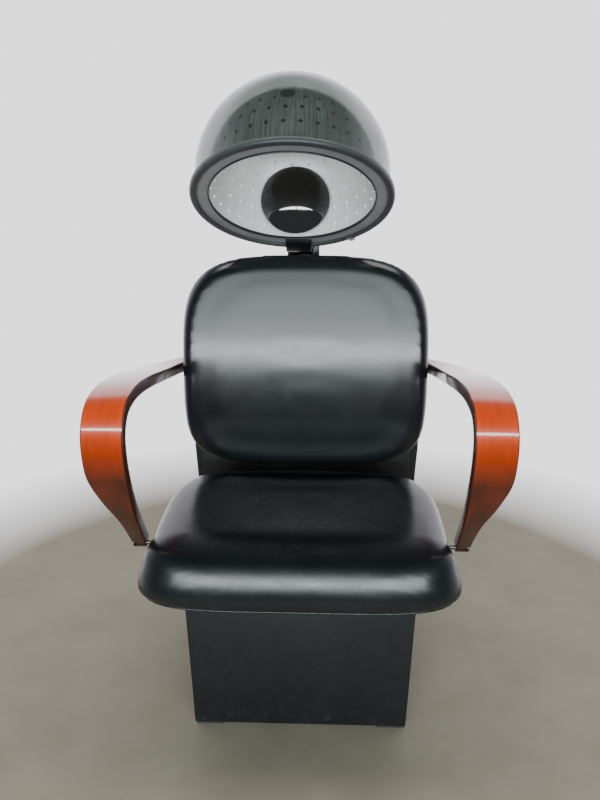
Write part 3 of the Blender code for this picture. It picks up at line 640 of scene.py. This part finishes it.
def panel_outline(half, top, corner, low):
    """Outline of the back panel: round upper corners, drawn in slightly towards the foot."""
    right = [(half - 0.007, low), (half - 0.004, 0.40), (half - 0.001, 0.45), (half, 0.60),
             (half, top - corner)]
    right += [(half - corner + corner * cos(a), top - corner + corner * sin(a))
              for a in (radians(d) for d in range(3, 91, 3))]
    return right + [(-x, z) for x, z in reversed(right)]


PANEL_HALF, PANEL_TOP, PANEL_CORNER, PANEL_FOOT = 0.2655, 0.874, 0.115, SEAT_Z0 + 0.0005
PANEL_Y, PANEL_MID = (0.2086, 0.2166), 0.62
panel_rings = []
for inset, y in ((0.0060, PANEL_Y[0]), (0.0030, 0.2087), (0.0010, 0.2096), (0.0003, 0.2110), (0.0003, 0.2128),
                 (0.0012, 0.2148), (0.0035, 0.2160), (0.0070, 0.2165), (0.060, PANEL_Y[1])):
    shape = panel_outline(PANEL_HALF - inset, PANEL_TOP - inset, PANEL_CORNER - inset, PANEL_FOOT + inset)
    panel_rings.append([(x, y, z) for x, z in shape])
piece('back_panel_vinyl', *stacked(panel_rings, (0, PANEL_Y[0], PANEL_MID), (0, PANEL_Y[1], PANEL_MID)),
      [PANEL_VINYL], 'panel_vinyl', 'chair', ['back_panel'], 50)

# ---------------------------------------------------------------- bentwood arms

# depth and height of the strip's middle, then the inner and outer reach of its width
ARM_PATH = [(-0.182, 0.402, 0.2925, 0.320), (-0.203, 0.432, 0.2925, 0.321), (-0.240, 0.484, 0.2925, 0.328),
            (-0.270, 0.534, 0.2925, 0.346), (-0.291, 0.584, 0.2925, 0.362), (-0.3005, 0.630, 0.2925, 0.365),
            (-0.296, 0.668, 0.2925, 0.365), (-0.270, 0.696, 0.2925, 0.365), (-0.228, 0.7055, 0.2925, 0.365),
            (-0.165, 0.7045, 0.2925, 0.365), (-0.070, 0.691, 0.2925, 0.365), (0.020, 0.674, 0.2925, 0.364),
            (0.100, 0.659, 0.292, 0.357), (0.160, 0.650, 0.287, 0.343), (0.205, 0.6455, 0.276, 0.324),
            (0.235, 0.6445, 0.251, 0.300), (0.262, 0.6445, 0.222, 0.276)]
ARM_HALF, ARM_EASED, ARM_STATIONS = 0.0125, 0.0028, 241


def arm(sign, name, node):
    """Bent strip with eased edges; one UV map follows the grain, the other the glued plies."""
    stations = smooth_path(ARM_PATH, ARM_STATIONS)
    spots = [Vector((0, y, z)) for y, z, *_ in stations]
    ends, next_to_ends = (0, ARM_STATIONS - 1), (1, ARM_STATIONS - 2)
    arc = [(1 - cos(a), 1 - sin(a)) for a in (radians(d) for d in (0, 22.5, 45, 67.5, 90))]
    verts, faces, marks = [], [], []
    run = 0.0
    for k, (y, z, inner, outer) in enumerate(stations):
        before, after = spots[max(k - 1, 0)], spots[min(k + 1, ARM_STATIONS - 1)]
        along = (after - before).normalized()
        outward = Vector((0, -along.z, along.y))
        run += (spots[k] - spots[k - 1]).length if k else 0.0
        shrink = 0.0022 if k in ends else 0.0006 if k in next_to_ends else 0.0
        half = ARM_HALF - shrink
        low, high = inner + shrink, outer - shrink
        section = []
        for x0, x_way, h_way, order in ((high, -1, 1, 1), (low, 1, 1, -1),
                                        (low, 1, -1, 1), (high, -1, -1, -1)):
            for across, up in arc[::order]:
                section.append((x0 + x_way * ARM_EASED * across, h_way * (half - ARM_EASED * up)))
        for x, h in section:
            verts.append(Vector((sign * x, y, z)) + outward * h)
            on_edge = 1.0 if min(x - low, high - x) < ARM_EASED * 0.9 else 0.0
            marks.append((run, x, h / (2 * ARM_HALF) + 0.5, on_edge))
    sides = len(verts) // ARM_STATIONS
    for k in range(ARM_STATIONS - 1):
        for c in range(sides):
            n = (c + 1) % sides
            faces.append((k * sides + c, k * sides + n, (k + 1) * sides + n, (k + 1) * sides + c))
    faces += [tuple(range(sides)), tuple(range(len(verts) - sides, len(verts)))]
    obj = piece(name, verts, faces, [LACQUER], '', '', angle=40, rides=False)
    for label, first in (('along', 0), ('ply', 2)):
        layer = obj.data.uv_layers.new(name=label)
        for loop in obj.data.loops:
            mark = marks[loop.vertex_index]
            layer.data[loop.index].uv = mark[first:first + 2]
    bored(obj, lathe([(0, 0.280), (0.0046, 0.280), (0.0046, 0.3130), (0.0085, 0.3130), (0.0085, 0.340),
                      (0, 0.340)], 32, along_bolt(sign)))
    shade(obj, 40)
    settle(obj, 'chair', [node])


arm(-1, 'arm_left_bentwood', 'arm_left')
arm(1, 'arm_right_bentwood', 'arm_right')

# ---------------------------------------------------------------- hood

INNER_R, INNER_T, OUTER_R, OUTER_T, DOME_FOOT = 0.1620, 0.0015, 0.1920, 0.0030, 0.0037
HOLE_IN, HOLE_OUT, INNER_FLANGE = 0.0500, 0.0600, 0.013
HOOD_STEPS = 168


def bowl(radius, thick, low, flange=0.0, steps=40):
    """Outline of a hemispherical dome on a short straight wall, open below, with an optional flange."""
    inner = radius - thick
    arc = [radians(90 * k / steps) for k in range(steps + 1)]
    wall = [low + (SPHERE_Z - low) * k / 6 for k in range(1, 6)]
    out = [(radius * cos(a), SPHERE_Z + radius * sin(a)) for a in arc[:-1]] + [(0, SPHERE_Z + radius)]
    back_side = [(0, SPHERE_Z + inner)] + [(inner * cos(a), SPHERE_Z + inner * sin(a)) for a in arc[-2::-1]]
    foot = [(inner, low), (radius + flange, low)]
    if flange:
        foot += [(radius + flange, low + thick), (radius, low + thick)]
    return foot + [(radius, h) for h in wall[1:]] + out + back_side + [(inner, h) for h in reversed(wall)]


def fan_bore(radius, low, high):
    return lathe([(0, low), (radius, low), (radius, high), (0, high)], 96, FAN_M)


dome = piece('inner_dome_shell',
             *lathe(bowl(INNER_R + INNER_T, INNER_T, DOME_FOOT, INNER_FLANGE), 144, HOOD_M),
             [INSIDE, OUTSIDE], '', '', rides=False)
bored(dome, fan_bore(HOLE_IN, 0.100, 0.200))
shade(dome, 30)
# the outside is what looks away from the dome's centre or, on the straight wall, from its axis
hub = HOOD_M @ Vector((0, 0, SPHERE_Z))
axis = (HOOD_M.to_3x3() @ Vector((0, 0, 1))).normalized()
for polygon in dome.data.polygons:
    rise = (polygon.center - hub).dot(axis)
    centre = hub + axis * min(0.0, rise)
    polygon.material_index = 1 if (polygon.center - centre).dot(polygon.normal) > 0 else 0
settle(dome, 'hood', ['inner_dome'])

shell = piece('outer_dome_shell', *lathe(bowl(OUTER_R, OUTER_T, DOME_FOOT), HOOD_STEPS, HOOD_M), [SMOKE],
              '', '', rides=False)
bored(shell, fan_bore(HOLE_OUT, 0.100, 0.230))
shade(shell, 30)
settle(shell, 'hood', ['outer_dome'])

# air nozzles: pressed craters that stand in from the dome's wall, each with a dimple on the far side; that
# dimple is a black ring round a black disc: painted shade for the hole, which is not cut
CRATER = [(0, -0.0003), (0.0042, -0.0003), (0.0040, 0.0004), (0.0035, 0.0016), (0.0028, 0.0026),
          (0.0020, 0.0029), (0.0015, 0.0022), (0.0012, 0.0004), (0, 0.0003)]
DIMPLE = [(0.0022, -0.0002), (0.0040, -0.0002), (0.0038, 0.0003), (0.0028, 0.0006), (0.0022, 0.0003)]
HOLLOW = [(0, -0.0002), (0.0021, -0.0002), (0.0021, 0.0002), (0, 0.0001)]
# rows from the crown down: elevation, number of nozzles, turn of the first; none at the fan's intake
NOZZLE_ROWS = ((70, 9, 0), (54, 15, 8), (39.7, 21, -4), (27.5, 33, 6.2), (16, 33, 8.4), (4, 33, 9.4),
               (-8.8, 33, 9.4))
FAN_CLEAR = 0.0590
craters, dimples, hollows = [], [], []
for elevation, count, first in NOZZLE_ROWS:
    for k in range(count):
        azimuth = radians(first + 360 * k / count)
        up = radians(elevation)
        ray = Vector((cos(up) * sin(azimuth), cos(up) * cos(azimuth), sin(up)))
        if elevation < 0:
            spot = Vector((INNER_R * sin(azimuth), INNER_R * cos(azimuth), SPHERE_Z + INNER_R * tan(up)))
            facing = Vector((-sin(azimuth), -cos(azimuth), 0))
        else:
            spot, facing = Vector((0, 0, SPHERE_Z)) + ray * INNER_R, -ray
        spot = HOOD_M @ spot
        in_fan = FAN_M.inverted() @ spot
        if in_fan.z > 0 and in_fan.xy.length < FAN_CLEAR:
            continue
        inward = (HOOD_M.to_3x3() @ facing).normalized()
        turn = inward.to_track_quat('Z', 'Y').to_matrix().to_4x4()
        craters.append(lathe(CRATER, 18, Matrix.Translation(spot) @ turn))
        far_side = Matrix.Translation(spot - inward * INNER_T) @ turn @ Matrix.Rotation(pi, 4, 'X')
        dimples.append(lathe(DIMPLE, 14, far_side))
        hollows.append(lathe(HOLLOW, 14, far_side))
piece('air_nozzles', *merged(craters), [NOZZLE], 'dome_aluminium', 'hood', angle=50)
# black rings and discs on the dome's outside: painted shade in the nozzles' dimples and holes
piece('nozzle_dimples', *merged(dimples), [CUTOUT], 'dome_aluminium', 'hood', angle=50)
piece('nozzle_hollows', *merged(hollows), [CUTOUT], 'cutout_black', 'hood', angle=50)

RING_OUTLINE = rounded([(0.1645, 0.0), (0.1921, 0.0), (0.1921, 0.0033), (0.1645, 0.0033)], 0.0006)
LIP_OUTLINE = rounded([(0.1622, -0.0025), (0.1632, -0.0034), (0.1642, -0.0025), (0.1642, 0.0030),
                       (0.1622, 0.0030)], 0.0006)
TRIM_OUTLINE = rounded([(0.1862, -0.0004), (0.1862, -0.0045), (0.1880, -0.0056), (0.1955, -0.0056),
                        (0.1985, -0.0045), (0.2000, -0.0015), (0.2000, 0.0040), (0.1985, 0.0065),
                        (0.1955, 0.0075), (0.1924, 0.0075), (0.1924, -0.0004)], 0.0016, 5)
for name, outline, look, slot in (('plenum_ring', RING_OUTLINE, RING, 'ring_grey'),
                                  ('mouth_lip', LIP_OUTLINE, LIP, 'lip_black'),
                                  ('rim_trim', TRIM_OUTLINE, TRIM, 'trim_black')):
    piece(f'{name}_smooth', *lathe(outline, HOOD_STEPS, HOOD_M), [look], slot, 'hood', [name])

# bulged cover over the fan intake
DISC_R, DISC_EDGE, DISC_RISE, DISC_T = 0.0740, 0.1340, 0.0220, 0.0018
CAP_R = (DISC_R ** 2 + DISC_RISE ** 2) / (2 * DISC_RISE)
radii = [(DISC_R - 0.0005) * k / 30 for k in range(31)]
front = [(r, DISC_EDGE - (sqrt(CAP_R ** 2 - r ** 2) - (CAP_R - DISC_RISE))) for r in radii]
edge = [(DISC_R - 0.0001, DISC_EDGE + 0.0005), (DISC_R, DISC_EDGE + 0.0010),
        (DISC_R - 0.0002, DISC_EDGE + DISC_T)]
rear = [(r, h + DISC_T) for r, h in reversed(front)]
piece('inlet_disc_smooth', *lathe(front + edge + rear, 120, FAN_M), [DISC], 'disc_black', 'hood',
      ['inlet_disc'])

BUTTON_OUTLINE = [(0, 0.1640), (0.0135, 0.1640), (0.0135, 0.1663), (0.0131, 0.1671), (0.0120, 0.1678),
                  (0.0080, 0.1682), (0, 0.1684)]
BUTTON_M = (HOOD_M @ at(0, 0, SPHERE_Z) @ Matrix.Rotation(radians(-2.5), 4, 'Z')
            @ Matrix.Rotation(radians(60), 4, 'X'))
piece('dome_button_smooth', *lathe(BUTTON_OUTLINE, 64, BUTTON_M), [SPACER], 'washer_rubber', 'hood',
      ['dome_button'])

# blower behind the domes
HOUSING_OUTLINE = rounded([(0.0575, 0.1795), (0.0594, 0.1795), (0.0594, 0.1848), (0.0680, 0.1848),
                           (0.0680, 0.1868), (0.0600, 0.1868), (0.0600, 0.2000), (0.0560, 0.2045),
                           (0.0365, 0.2045), (0.0365, 0.2440), (0.0340, 0.2440), (0.0340, 0.2020),
                           (0.0550, 0.2020), (0.0575, 0.1990)], 0.0008)
piece('blower_housing_smooth', *lathe(HOUSING_OUTLINE, 96, FAN_M), [PLASTIC], 'housing_black', 'hood',
      ['blower_housing'])

# ---------------------------------------------------------------- column and controls

TUBE_OUTLINE = rounded([(0.0112, 0.462), (0.0127, 0.462), (0.0127, 0.886), (0.0112, 0.886)], 0.0004)
piece('column_tube_smooth', *lathe(TUBE_OUTLINE, 72, at(0, COLUMN_Y, 0)), [CHROME], 'column_chrome', 'column',
      ['column_tube'])

BOX_FACE, MARK_TOP, MARK_HALF, LONG_MARK, SHORT_MARK = 0.3349, 0.3352, 0.0004, 0.0042, 0.0026


def dial_marks(name, x, z, radius, count, sweep):
    """Short bars round a knob on the rear face of the box."""
    bars = []
    for k in range(count):
        a = sweep * (k / (count - 1))
        way = Vector((-sin(a), 0, cos(a)))
        side = Vector((way.z, 0, -way.x))
        long = LONG_MARK if k % 3 == 0 else SHORT_MARK
        inner_end = Vector((x, 0, z)) + way * radius
        corners = [inner_end + side * MARK_HALF, inner_end + way * long + side * MARK_HALF,
                   inner_end + way * long - side * MARK_HALF, inner_end - side * MARK_HALF]
        bars.append(([Vector((c.x, y, c.z)) for y in (BOX_FACE, MARK_TOP) for c in corners],
                     [(0, 1, 2, 3), (7, 6, 5, 4), (0, 4, 5, 1), (1, 5, 6, 2), (2, 6, 7, 3), (3, 7, 4, 0)]))
    piece(name, *merged(bars), [MARK], 'housing_black', 'chair')


dial_marks('timer_scale', 0.0, 0.692, 0.0215, 13, radians(300))
dial_marks('heat_scale', -0.022, 0.632, 0.0145, 4, radians(180))


# ---------------------------------------------------------------- carried-over nodes

def smooth_by_angle():
    """Node group that smooths faces and leaves edges over 32 degrees sharp."""
    group = bpy.data.node_groups.new('crisp_edges', 'GeometryNodeTree')
    group.interface.new_socket('Geometry', in_out='INPUT', socket_type='NodeSocketGeometry')
    group.interface.new_socket('Geometry', in_out='OUTPUT', socket_type='NodeSocketGeometry')
    new, link = group.nodes.new, group.links.new
    source, sink = new('NodeGroupInput'), new('NodeGroupOutput')
    faces, edges = new('GeometryNodeSetShadeSmooth'), new('GeometryNodeSetShadeSmooth')
    faces.domain, edges.domain = 'FACE', 'EDGE'
    angle, wide = new('GeometryNodeInputMeshEdgeAngle'), new('FunctionNodeCompare')
    wide.operation, wide.inputs[1].default_value = 'GREATER_THAN', radians(32)
    link(angle.outputs['Unsigned Angle'], wide.inputs[0])
    link(source.outputs[0], faces.inputs['Geometry'])
    link(faces.outputs[0], edges.inputs['Geometry'])
    link(wide.outputs[0], edges.inputs['Selection'])
    edges.inputs['Shade Smooth'].default_value = False
    link(edges.outputs[0], sink.inputs[0])
    return group


CRISP = smooth_by_angle()


def refined(look, *names, bevel=0.0):
    """Give carried-over nodes their material, joined edges, eased corners and smooth shading."""
    for name in names:
        obj = NODES[name]
        obj.data.materials.clear()
        obj.data.materials.append(look)
        weld = obj.modifiers.new('weld', 'WELD')
        weld.merge_threshold = 0.00002
        if bevel:
            mod = obj.modifiers.new('eased', 'BEVEL')
            mod.width, mod.segments, mod.limit_method, mod.angle_limit = bevel, 3, 'ANGLE', radians(38)
        mod = obj.modifiers.new('crisp', 'NODES')
        mod.node_group = CRISP


refined(LAMINATE, 'base_front', 'base_rear', 'base_left', 'base_right')
refined(RUBBER, 'foot_front_left', 'foot_front_right', 'foot_rear_left', 'foot_rear_right', bevel=0.0012)
refined(STAIN, 'seat_board', bevel=0.0015)
refined(STAIN, 'back_board')
refined(RAIL, 'seat_rail_left', 'seat_rail_right', bevel=0.0008)
refined(BOLT, 'arm_bolt_left', 'arm_bolt_right')
refined(PAINT, 'arm_bracket_left', 'arm_bracket_right', 'column_bracket', bevel=0.0007)
refined(PAINT, 'neck', 'hood_bracket', bevel=0.0007)
refined(PAINT, 'control_plate', bevel=0.0008)
refined(PAINT, 'column_sleeve')
refined(STEEL, 'hinge_pin', 'tension_nut')
refined(SPACER, 'friction_washer', 'motor_mount')
refined(CLIP, 'trim_clip', bevel=0.0005)
refined(POST, 'inlet_post_1', 'inlet_post_2', 'inlet_post_3', 'inlet_guard')
refined(WHEEL, 'impeller', bevel=0.0004)
refined(MOTOR, 'fan_motor', 'timer_unit')
refined(PLASTIC, 'housing_cap', 'supply_gland')
refined(PLASTIC, 'control_box', bevel=0.0012)
refined(CERAMIC, 'heater_frame', 'heat_switch')
refined(COPPER, 'heater_coil')
refined(CUTOUT, 'thermal_cutout', bevel=0.0004)
refined(KNOB, 'clamp_knob', 'timer_knob', 'heat_knob', bevel=0.0005)
refined(AMBER, 'pilot_lamp')

# ---------------------------------------------------------------- floor, light and camera

floor_look = Look('floor', (0.5, 0.5, 0.5), 0.62, Specular_IOR_Level=0.2)
ground = floor_look.place()
away = floor_look.node('VectorMath', {0: ground}, operation='LENGTH').outputs['Value']
grit = floor_look.noise(ground, 5.0, 8.0, 0.6)
floor_look.to(floor_look.ramp(grit, (0.3, (0.215, 0.198, 0.145)), (0.7, (0.268, 0.248, 0.186))), 'Base Color')
floor_look.to(floor_look.bump(floor_look.noise(ground, 160.0, 4.0), 0.0006, 0.25), 'Normal')
floor_look.to(floor_look.span(away, 1.0, 0.0, 0.95, 1.45), 'Alpha')
floor = piece('floor', [(-3, -3, 0), (3, -3, 0), (3, 3, 0), (-3, 3, 0)], [(0, 1, 2, 3)], [floor_look.mat],
              '', '', rides=False)

# pale studio: bright behind the chair, dimmer in front of it and overhead
world = bpy.data.worlds.new('studio')
world.use_nodes = True
tree = world.node_tree
way = tree.nodes.new('ShaderNodeSeparateXYZ')
tree.links.new(tree.nodes.new('ShaderNodeTexCoord').outputs['Generated'], way.inputs[0])
levels = []
for source, low, high, bottom, top in (('Y', -0.45, 0.60, 0.13, 2.05), ('Z', 0.78, 0.46, 0.10, 1.0)):
    level = tree.nodes.new('ShaderNodeMapRange')
    level.interpolation_type = 'SMOOTHSTEP'
    for socket, value in (('From Min', low), ('From Max', high), ('To Min', bottom), ('To Max', top)):
        level.inputs[socket].default_value = value
    tree.links.new(way.outputs[source], level.inputs['Value'])
    levels.append(level.outputs[0])
both = tree.nodes.new('ShaderNodeMath')
both.operation = 'MULTIPLY'
for socket, level in zip(both.inputs, levels):
    tree.links.new(level, socket)
background = tree.nodes['Background']
background.inputs['Color'].default_value = (0.955, 0.95, 1.0, 1.0)
tree.links.new(both.outputs[0], background.inputs['Strength'])
bpy.context.scene.world = world


def lamp(name, place, aim, size, power, colour=(1.0, 0.99, 0.97)):
    """Rectangular soft light turned to a point."""
    data = bpy.data.lights.new(name, 'AREA')
    data.shape, data.size, data.size_y = 'RECTANGLE', size[0], size[1]
    data.energy, data.color = power, colour
    obj = bpy.data.objects.new(name, data)
    obj.location = place
    obj.rotation_euler = (Vector(aim) - Vector(place)).to_track_quat('-Z', 'Y').to_euler()
    bpy.context.scene.collection.objects.link(obj)
    return obj


COOL = (0.90, 0.965, 1.0)
overhead = lamp('overhead', (0.0, 0.2, 3.3), (0, 0, 0.4), (3.2, 1.2), 66)
tubes = [lamp('tube_left', (-1.20, -2.30, 1.98), (-1.20, 0, 0.7), (2.32, 0.32), 72),
         lamp('tube_right', (1.20, -2.30, 1.98), (1.20, 0, 0.7), (2.32, 0.32), 72)]
soft = lamp('front_soft', (0.0, -4.2, 2.10), (0, 0, 0.75), (4.4, 1.4), 100, COOL)
band = lamp('front_band', (0.0, -4.1, 1.09), (0, 0, 0.75), (5.4, 0.31), 225, COOL)
# the tubes draw the narrow line on lacquer and intake cover, which the other lamps leave alone; the soft
# lamp and the overhead one leave the seat's cover alone too, and the overhead one the smoked dome
glossy = ['arm_left_bentwood', 'arm_right_bentwood', 'inlet_disc_smooth']
matt = glossy + ['seat_cushion_vinyl']
for label, lamps, state, names in (('line', tubes, 'INCLUDE', glossy),
                                   ('band', [band], 'EXCLUDE', glossy),
                                   ('soft', [soft], 'EXCLUDE', matt),
                                   ('top', [overhead], 'EXCLUDE', matt + ['outer_dome_shell'])):
    group = bpy.data.collections.new(label)
    for name in names:
        group.objects.link(bpy.data.objects[name])
    for link in group.collection_objects:
        link.light_linking.link_state = state
    for source in lamps:
        source.light_linking.receiver_collection = group

camera = bpy.data.objects.new('camera', bpy.data.cameras.new('camera'))
camera.location = (0.046, -1.518, 1.120)
camera.rotation_euler = (radians(90 - 17.8), 0, radians(2.0))
camera.data.lens = 35.1
bpy.context.scene.collection.objects.link(camera)
bpy.context.scene.camera = camera

bpy.context.view_layer.update()
